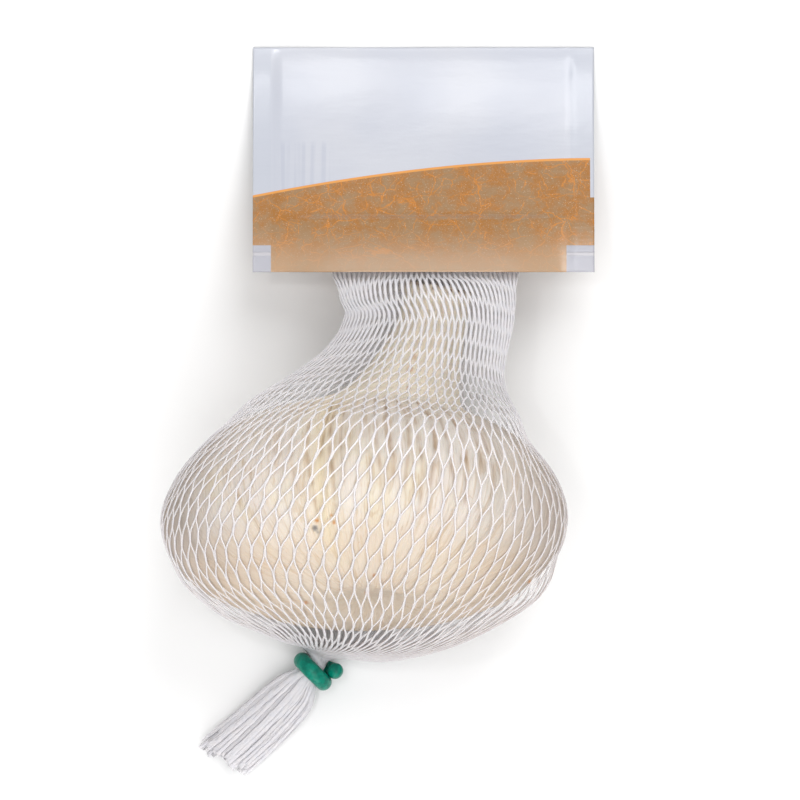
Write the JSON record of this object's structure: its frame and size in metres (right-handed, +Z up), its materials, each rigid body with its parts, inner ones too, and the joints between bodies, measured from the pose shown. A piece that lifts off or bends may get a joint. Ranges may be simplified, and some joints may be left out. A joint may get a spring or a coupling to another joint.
{
  "type": "netted garlic bulb",
  "caption": "Whole dried garlic bulb lying on its side in a stretched white net bag, closed at the root end by a bent plastic clip and at the stem end by a folded film header",
  "frame": {"origin": "centre of the footprint, on the surface that the bulb lies on", "axes": "+Y runs from the clip end to the header, +Z is up, and +X is to the right with the header away from you"},
  "size_m": [0.076, 0.128, 0.0635],
  "materials": {
    "garlic_skin": "satin",
    "net": "satin",
    "clip": "gloss",
    "header_film": "gloss"
  },
  "bodies": {
    "root": {"garlic_bulb": "garlic_skin", "net_bag": "net", "net_clip": "clip", "header_label": "header_film"}
  },
  "joints": []
}
